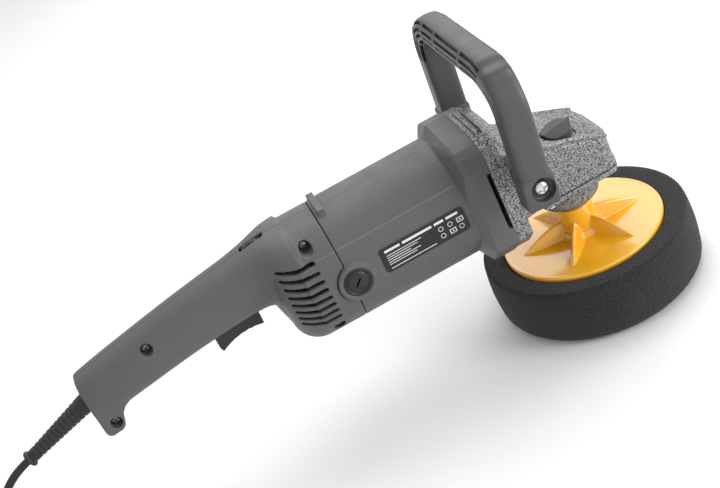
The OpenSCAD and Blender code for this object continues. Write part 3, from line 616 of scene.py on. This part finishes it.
def vent_cutters():
    """Cranked inlet slots, one below the other on each side."""
    out = []
    for side in (-1, 1):
        for i in range(8):
            z, rise, thick = 153.5 - i * 6.2, 2.5 + 0.45 * i, 3.4
            out.append(prism("slot", [
                (-194.6, z + 0.5), (-206.5, z + 0.7), (-206.5, z), (-220, z + rise + 0.6),
                (-221.5, z + rise + 1.6), (-220, z + rise + thick - 0.4), (-206.5, z + thick),
                (-194.6, z + thick - 0.2), (-193.5, z + thick - 0.7), (-193.1, z + thick / 2),
                (-193.5, z + 1.0)],
                "xz", -60 if side < 0 else 24, -24 if side < 0 else 60))
    return out


def handle_shell():
    whole = fuse(handle_loft(0, -400), bulge(0, -167), hook())
    soften(whole, 1.0, 9)
    fuse(whole, side_panel(-170, -206.5))
    cut(whole, box("front", (SEAM_X - 0.6, -150), (-60, 60), (60, 200)))
    hollow = fuse(handle_loft(SHELL, -377), bulge(SHELL, -170))
    for x, z, _ in SCREWS:
        cut(hollow, rod("pillar", (x, -60, z), (x, 60, z), 6.0))
    cut(hollow, box("web", (-222, -192.6), (-1.5, 1.5), (90, 170)))
    cut(whole, hollow)
    for side in (-1, 1):
        cut(whole, rod("boss", (BRUSH_X, side * 30, BRUSH_Z), (BRUSH_X, side * 60, BRUSH_Z), 14.4, 96))
    cut(whole, *vent_cutters())
    cut(whole, box("trigger", (-281, -243), (-8.6, 8.6), (100, 134)),
        box("dial", (-235, -215), (-3, 3), (160, 190)),
        rod("gland", RELIEF_AT - 18 * RELIEF_DIR, RELIEF_AT + 14 * RELIEF_DIR, 7.8))
    return whole


def add_handle():
    whole = handle_shell()
    left = new_object("handle_shell_left", whole.data.copy())
    whole.name = "handle_shell_right"
    cut(whole, box("left", (-420, -150), (0, 70), (60, 200)))
    for x, z, depth in SCREWS:
        cut(whole, rod("bore", (x, -60, z), (x, -depth, z), 4.5, 64))
    cut(left, box("right", (-420, -150), (-70, 0), (60, 200)),
        rod("button", (-262, 5, 150), (-262, 40, 150), 5.3, 64))
    for obj, node in ((whole, "handle_right"), (left, "handle_left")):
        soften(obj, 0.6, 3, 0.35)
        finish_piece(obj, "housing", "body", node)


add_handle()


# ---------------------------------------------------------------- motor housing and gear head

def add_motor_housing():
    obj = copy_of("motor_housing", "motor_shell")
    # the parting line, a low step round the barrel's upper left
    line = lathe("line", [(-169, 0), (-169, MOTOR_R + 0.4), (-82, MOTOR_R + 0.4), (-82, 0)], "x",
                 (0, 0, AXIS_Z))
    within(line, prism("clip", [(-168, -5), (-83, -5), (-83, 36), (-168, 36)], "xy", 150, 190))
    cut(line, rod("inside", (-170, 0, AXIS_Z), (-80, 0, AXIS_Z), 44, 96))
    fuse(obj, line)
    soften(obj, 0.6, 2, 0.4)
    finish_piece(obj, "housing", "body", "motor_housing")


def roof_z(x):
    """Height of the gear head's roof, which slopes down forwards."""
    return float(np.interp(x, [-33, -22, -12, 5, 20, 30, 36], [151, 145, 142, 138.5, 132.5, 128.3, 125]))


def tube(name, points, r, sides=12):
    points = [Vector(p) for p in points]
    rings = []
    for i, p in enumerate(points):
        along = (points[min(i + 1, len(points) - 1)] - points[max(i - 1, 0)]).normalized()
        side = along.cross(Vector((0.3, 0.5, 1.0))).normalized()
        other = along.cross(side)
        rings.append(circle(p, side, other, r, sides))
    return loft(name, rings)


LOCK_AT = (5, -12)
LOCK_POCKET_R = 12.4
LOCK_POCKET_Z = 132.2
# ridges on the roof, as (points of x and y, radius)
ROOF_RIDGES = [
    ([(15.5, 12), (18.6, 6), (19.8, -2), (18.9, -10), (16.3, -17)], 1.1),
    ([(19.3, 9), (23.4, 4), (24.6, -1), (24.2, -8), (22.3, -14), (19.8, -20.3)], 1.2),
    ([(26.6, 16), (26.8, 5), (26.2, -6)], 1.6),
    ([(22, 23), (29.3, 22), (31.7, 12), (32.5, 0), (31.8, -10), (30.4, -18.6), (20.5, -21.5)], 0.8)]


def roof_line(points, r, lift):
    return tube("roof_line", [(x, y, roof_z(x) + lift) for x, y in points], r)


def add_gear_head():
    obj = copy_of("gear_housing", "gear_head")
    # beads along the roof's edges with a groove below, then the cast ridges in front of the lock button
    for side in (-1, 1):
        fuse(obj, roof_line([(x, side * 29.8) for x in np.linspace(-24, 33, 16)], 1.5, 0.3))
        cut(obj, roof_line([(x, side * 31.3) for x in np.linspace(-30, 31, 16)], 0.9, -2.6))
    for ridge, r in ROOF_RIDGES:
        fuse(obj, roof_line([tuple(p) for p in spline(ridge, 5)], r, 0.35))
    cut(obj, rod("lock_pocket", (*LOCK_AT, LOCK_POCKET_Z), (*LOCK_AT, 145), LOCK_POCKET_R, 96))
    soften(obj, 0.6, 3, 0.4)
    finish_piece(obj, "housing", "paint", "gear_housing")
    cover = soften(copy_of("bearing_cover", "gear_cover"), 0.6, 2, 0.4)
    finish_piece(cover, "housing", "paint", "bearing_cover")


add_motor_housing()
add_gear_head()


# ---------------------------------------------------------------- loop handle

BOLT = (-38.0, 146.0)
LEAN = math.radians(4.0)
GRIP_HALF = 47.0
GRIP_Z = 230.0
BEND_R = 29.0
LEG_Y = 76.0
BEND_LEN = BEND_R * math.pi / 2
LEG_END = 141.0


def leaned(x, y, z):
    """From the loop's own upright frame, with x from its middle plane, to the shared frame."""
    u, w = x - 2.0, z - BOLT[1]
    return (BOLT[0] + u * math.cos(LEAN) + w * math.sin(LEAN), y,
            BOLT[1] - u * math.sin(LEAN) + w * math.cos(LEAN))


def loop_line(s):
    """Centre and outward normal, as (y, z), at a distance s along the loop from the grip's middle."""
    side, d = (1.0 if s >= 0 else -1.0), abs(s)
    if d <= GRIP_HALF:
        y, z, ny, nz = d, GRIP_Z, 0.0, 1.0
    elif d <= GRIP_HALF + BEND_LEN:
        a = (d - GRIP_HALF) / BEND_R
        ny, nz = math.sin(a), math.cos(a)
        y, z = GRIP_HALF + BEND_R * ny, GRIP_Z - BEND_R + BEND_R * nz
    else:
        y, z, ny, nz = LEG_Y, GRIP_Z - BEND_R - (d - GRIP_HALF - BEND_LEN), 1.0, 0.0
    return side * y, z, side * ny, nz


def loop_bar():
    """Round on top along the grip, flat-sided down the legs, with two low shoulders on the right bend."""
    rings = []
    end = GRIP_HALF + BEND_LEN + GRIP_Z - BEND_R - LEG_END
    for s in np.linspace(-end, end, 220):
        y, z, ny, nz = loop_line(s)
        leg = smoothstep((abs(s) - GRIP_HALF - 4) / 30)
        hx, hn = 11.9 + (11.0 - 11.9) * leg, 10.2 + (9.0 - 10.2) * leg
        bump = 1.5 * math.exp(-((s + GRIP_HALF + 9.5) / 3.0) ** 2) + 1.9 * math.exp(
            -((s + GRIP_HALF + 19.0) / 3.2) ** 2)
        ring = []
        for a in np.linspace(0, 2 * math.pi, 72, endpoint=False):
            c, d = math.cos(a), math.sin(a)
            power = 2 / ((2.25 if d > 0 else 3.2) * (1 - leg) + 5.5 * leg)
            v = hn * powered(d, power) + (bump if d > 0 else 0.0) * abs(d)
            ring.append(leaned(hx * powered(c, power), y + v * ny, z + v * nz))
        rings.append(ring)
    return loft("loop", rings)


def groove(s0, s1, angle, rear):
    """A cutter for one channel of the grip, at an angle above the horizontal on its rear or front."""
    rings = []
    ca, sa = math.cos(math.radians(angle)), math.sin(math.radians(angle))
    for s in np.linspace(s0, s1, max(2, int(abs(s1 - s0) / 4))):
        y, z, ny, nz = loop_line(s)
        ring = []
        for depth, across in ((8.8, -1.0), (8.8, 1.0), (14.5, 1.7), (14.5, -1.7)):
            u = -rear * (depth * ca - across * sa)
            v = (depth * sa + across * ca) * 0.92
            ring.append(leaned(u, y + v * ny, z + v * nz))
        rings.append(ring)
    return loft("groove", rings)


def cross_screw(name, seat, out, head_r, head_h, shank_r, shank_l, turn=0.3):
    """A pan-head screw with a cross recess; seat is the middle of the head's underside."""
    seat, out = Vector(seat), Vector(out).normalized()
    head = lathe("head", [
        (-shank_l, 0), (-shank_l, shank_r), (0, shank_r), (0, head_r - 0.3), (0.3, head_r),
        (head_h * 0.35, head_r), (head_h * 0.7, head_r * 0.86), (head_h * 0.92, head_r * 0.6),
        (head_h, head_r * 0.3), (head_h, 0)], "z", sides=64)
    for k in range(2):
        slot = box("slot", (-head_r * 0.62, head_r * 0.62), (-head_r * 0.13, head_r * 0.13),
                   (head_h * 0.35, head_h + 2))
        slot.data.transform(Matrix.Rotation(turn + k * math.pi / 2, 4, "Z"))
        cut(head, slot)
    cut(head, rod("socket", (0, 0, head_h * 0.3), (0, 0, head_h + 1), head_r * 0.2, 24, head_r * 0.3))
    head.data.transform(Matrix.Translation(seat * MM) @ out.to_track_quat("Z", "Y").to_matrix().to_4x4())
    head.name = name
    return head


def join(name, parts):
    """One object that holds several closed meshes side by side."""
    bm = bmesh.new()
    for part in parts:
        bm.from_mesh(part.data)
    mesh = bpy.data.meshes.new(name)
    bm.to_mesh(mesh)
    bm.free()
    for part in parts:
        bpy.data.objects.remove(part)
    return new_object(name, mesh)


GROOVE_ANGLES = (40, 14, -11, -38)
GROOVE_SPANS = ((-60.0, -30.5), (-27.0, 18.5), (22.0, 44.0), (47.0, 68.0), (71.0, 94.0))


def add_loop():
    obj = loop_bar()
    for side in (-1, 1):
        foot = []
        for y, grow in ((85.7, -1.0), (84.9, 0.0), (70.0, 0.0), (68.0, -1.0)):
            foot.append([leaned(u, side * y, w) for u, w in rounded(-9.4, 9.4, 135.4, 153.0, 2.6 + grow, 6)])
        fuse(obj, loft("foot", foot))
        fuse(obj, rod("spacer", (BOLT[0], side * 50.6, BOLT[1]), (BOLT[0], side * 72, BOLT[1]), 9.5, 64))
    for rear in (1, -1):
        for angle in GROOVE_ANGLES:
            cut(obj, *[groove(a, b, angle, rear) for a, b in GROOVE_SPANS])
    for side in (-1, 1):
        cut(obj, rod("bolt", (BOLT[0], side * 40, BOLT[1]), (BOLT[0], side * 95, BOLT[1]), 3.3),
            rod("counterbore", (BOLT[0], side * 80, BOLT[1]), (BOLT[0], side * 95, BOLT[1]), 8.8, 64))
    soften(obj, 0.5, 2, 0.35)
    obj.name = "loop_grip"
    finish_piece(obj, "housing", "loop", "loop_handle")
    bolts = [cross_screw("bolt", (BOLT[0], side * 80, BOLT[1]), (0, side, 0), 5.6, 3.8, 3.0, 43.0)
             for side in (-1, 1)]
    finish_piece(smooth_by_angle(join("loop_screws", bolts)), "housing", "screw", "loop_bolts")


add_loop()


# ---------------------------------------------------------------- pad and backing plate

PAD_R = 82.0
PAD_H = 49.0
PLATE_R = 62.5
PLATE_TOP = 50.0
HUB_R = 14.5
HUB_TOP = 73.9
RIBS = 6


def add_pad():
    """Foam ring with a rolled working edge, a side that swells a little, and a recess for the plate."""
    profile = [(0.3, 0), (0.0, 20), (0.0, 45), (0.0, 62)]
    profile += [(y, x) for x, y in arc(PAD_R - 11 - 1.5, 11, 11, -90, -10, 14)]
    profile += [(PAD_H * 0.38, PAD_R - 0.8), (PAD_H * 0.55, PAD_R - 0.4), (PAD_H * 0.72, PAD_R - 0.7),
                (PAD_H - 5, PAD_R - 1.5), (PAD_H - 2.6, PAD_R - 1.9), (PAD_H - 1.4, PAD_R - 2.2),
                (PAD_H - 0.6, PAD_R - 2.8), (PAD_H - 0.2, PAD_R - 3.8), (PAD_H - 0.2, PAD_R - 5.0),
                (PAD_H - 0.3, PAD_R - 9), (PAD_H - 0.5, PAD_R - 14), (PAD_H - 0.9, PLATE_R + 1.2),
                (PAD_H - 2.5, PLATE_R + 0.4), (44.2, PLATE_R + 0.3), (44.1, 40), (44.1, 0)]
    obj = smooth_by_angle(lathe("foam_ring", profile, sides=300), 40.0)
    finish_piece(obj, "spindle", "foam", "foam_pad")


def plate_rib(angle):
    """A leaf-shaped rib: tall at the hub, with a crest that arches down to a point on the plate."""
    tip, inner, steps = 49.0, HUB_R - 2.5, 22
    rings = []
    for i in range(steps + 1):
        t = i / steps
        x = inner + (tip - inner) * t
        w = 5.4 * (1 - t ** 1.7) + 0.35
        h = 13.6 * (1 - t ** 1.6) + 0.25
        ring = [(-w, -1.2), (w, -1.2), (w * 0.72, h * 0.38), (w * 0.36, h * 0.84), (0.0, h),
                (-w * 0.36, h * 0.84), (-w * 0.72, h * 0.38)]
        c, s = math.cos(angle), math.sin(angle)
        rings.append([(x * c - y * s, x * s + y * c, PLATE_TOP + z) for y, z in ring])
    return loft("rib", rings)


def add_plate():
    bottom = PLATE_TOP - 5.8
    profile = [(bottom, 0), (bottom, PLATE_R - 1.0), (bottom + 0.8, PLATE_R), (PLATE_TOP - 0.8, PLATE_R),
               (PLATE_TOP, PLATE_R - 0.7), (PLATE_TOP + 0.05, PLATE_R - 2.0), (PLATE_TOP - 0.35, PLATE_R - 3.2),
               (PLATE_TOP - 0.35, 24), (PLATE_TOP, HUB_R + 4.5), (PLATE_TOP + 1.2, HUB_R + 3.0),
               (PLATE_TOP + 4.5, HUB_R + 1.4), (PLATE_TOP + 5.0, HUB_R), (HUB_TOP - 0.5, HUB_R - 0.6),
               (HUB_TOP, HUB_R - 1.2), (HUB_TOP, 0)]
    obj = lathe("ribbed_plate", profile, sides=240)
    fuse(obj, *[plate_rib(math.radians(-4 + 360 / RIBS * i)) for i in range(RIBS)])
    cut(obj, rod("bore", (0, 0, 40), (0, 0, 80), 9.0, 96))
    soften(obj, 0.4, 1, 0.5)
    finish_piece(obj, "spindle", "yellow", "backing_plate")


add_pad()
add_plate()


# ---------------------------------------------------------------- small parts

def add_small_parts():
    knob = soften(copy_of("lock_button", "lock_knob"), 0.35, 4, 0.6)
    finish_piece(knob, "spindle_lock", "dark", "lock_button")
    lever = soften(copy_of("trigger", "trigger_lever"), 0.5, 4, 0.6)
    finish_piece(lever, "trigger", "black", "trigger")
    caps = []
    for side in (-1, 1):
        cap = lathe("cap", [(40.0, 0), (40.0, 7.9), (46.6, 7.9), (46.9, 10.2), (47.6, 10.4), (48.0, 10.0),
                            (48.1, 9.2), (47.5, 8.7), (47.3, 8.2), (47.9, 7.5), (48.3, 5.5), (48.4, 3.0),
                            (48.4, 0)], "z", sides=96)
        slot = box("slot", (-3.6, 3.6), (-0.75, 0.75), (46.2, 50))
        slot.data.transform(Matrix.Rotation(math.radians(side * -47), 4, "Z"))
        cut(cap, slot)
        cap.data.transform(Matrix.Translation(Vector((BRUSH_X, 0, BRUSH_Z)) * MM)
                           @ Matrix.Rotation(math.radians(side * -90), 4, "X"))
        caps.append(cap)
    finish_piece(smooth_by_angle(join("brush_screw_caps", caps)), "housing", "black", "brush_caps")
    screws = [cross_screw("screw", (x, -depth, z), (0, -1, 0), 3.8, 2.4, 2.0, depth + 10.0, 0.5)
              for x, z, depth in SCREWS]
    finish_piece(smooth_by_angle(join("shell_screws", screws)), "housing", "gear", "handle_screws")
    wheel = soften(copy_of("speed_dial", "speed_wheel"), 0.25, 2, 0.6)
    finish_piece(wheel, "dial", "black", "speed_dial")


def add_label():
    """A film with round corners; bars, boxes and rings take the place of a label's words and marks."""
    lo, hi = (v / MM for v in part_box("rating_label"))
    corner = 2.6
    outline = rounded(lo.x + corner, hi.x - corner, lo.z + corner, hi.z - corner, corner, 8)
    film = smooth_by_angle(prism("label_film", outline, "xz", lo.y, hi.y))
    finish_piece(film, "housing", "label", "rating_label")

    # the print stands a little proud of the film and starts inside it
    front, back = lo.y - 0.06, lo.y + 0.04

    def place(u, v):
        return lo.x + (hi.x - lo.x) * u, lo.z + (hi.z - lo.z) * v

    def plate(u0, u1, v0, v1):
        (x0, z0), (x1, z1) = place(u0, v0), place(u1, v1)
        return prism("bar", [(x0, z0), (x1, z0), (x1, z1), (x0, z1)], "xz", front, back)

    def ring(u, v, r, width):
        x, z = place(u, v)
        disc = rod("ring", (x, front, z), (x, back, z), r, 32)
        return cut(disc, rod("hole", (x, lo.y - 1, z), (x, lo.y + 1, z), r - width, 32))

    bars = [plate(a, b, 0.80, 0.90) for a, b in ((0.06, 0.24), (0.27, 0.62), (0.65, 0.76), (0.79, 0.93))]
    for row, length in enumerate((0.46, 0.40, 0.30, 0.42, 0.36)):
        top = 0.68 - 0.095 * row
        bars.append(plate(0.06, 0.06 + length * 0.9, top - 0.028, top))
    bars.append(plate(0.06, 0.60, 0.10, 0.13))
    for u, v in ((0.70, 0.56), (0.81, 0.56), (0.70, 0.26), (0.92, 0.26)):
        bars.append(ring(u, v, 1.9, 0.45))
    for u, v in ((0.89, 0.46), (0.78, 0.16)):
        bars += [plate(u, u + 0.075, v, v + 0.03), plate(u, u + 0.075, v + 0.17, v + 0.20),
                 plate(u, u + 0.010, v + 0.03, v + 0.17), plate(u + 0.065, u + 0.075, v + 0.03, v + 0.17),
                 plate(u + 0.028, u + 0.047, v + 0.075, v + 0.125)]
    finish_piece(join("label_bars", bars), "housing", "print", slot="label")


add_small_parts()
add_label()

for node, obj in NODES.items():
    obj.data.materials.clear()
    obj.data.materials.append(MATS[SLOT_OF[RECORD_SLOT[node]]])


# ---------------------------------------------------------------- stage

def add_light(name, place, target, size, power):
    data = bpy.data.lights.new(name, "AREA")
    data.shape = "RECTANGLE"
    data.size, data.size_y = size
    data.energy = power
    obj = new_object(name, data)
    obj.location = place
    obj.rotation_euler = (Vector(target) - Vector(place)).to_track_quat("-Z", "Y").to_euler()


def add_stage():
    half = 3000
    floor = mesh_piece("floor", [(-half, -half, 0), (half, -half, 0), (half, half, 0), (-half, half, 0)],
                       [(0, 1, 2, 3)])
    s = Shader("floor", (0.84, 0.84, 0.84), 0.9)
    s.link(s.mix(s.noise(6.0, 3.0), (0.83, 0.83, 0.83, 1), (0.86, 0.86, 0.86, 1)), "Base Color")
    floor.data.materials.append(s.mat)
    floor.location.z = -0.0005
    world = bpy.data.worlds.new("studio")
    world.use_nodes = True
    sky = world.node_tree.nodes["Background"]
    sky.inputs["Color"].default_value = (1.0, 1.0, 1.0, 1.0)
    sky.inputs["Strength"].default_value = 0.80
    bpy.context.scene.world = world
    bpy.context.scene.view_settings.view_transform = "Standard"
    middle = (-0.10, 0.0, 0.12)
    add_light("key", (0.25, 0.45, 1.45), middle, (1.2, 0.9), 11.0)
    add_light("fill", (0.85, -0.85, 0.50), (0.0, 0.0, 0.10), (0.6, 0.6), 9.5)
    add_light("card", (0.40, 1.20, 0.84), (0.0, 0.0, 0.06), (1.45, 0.85), 4.6)


add_stage()
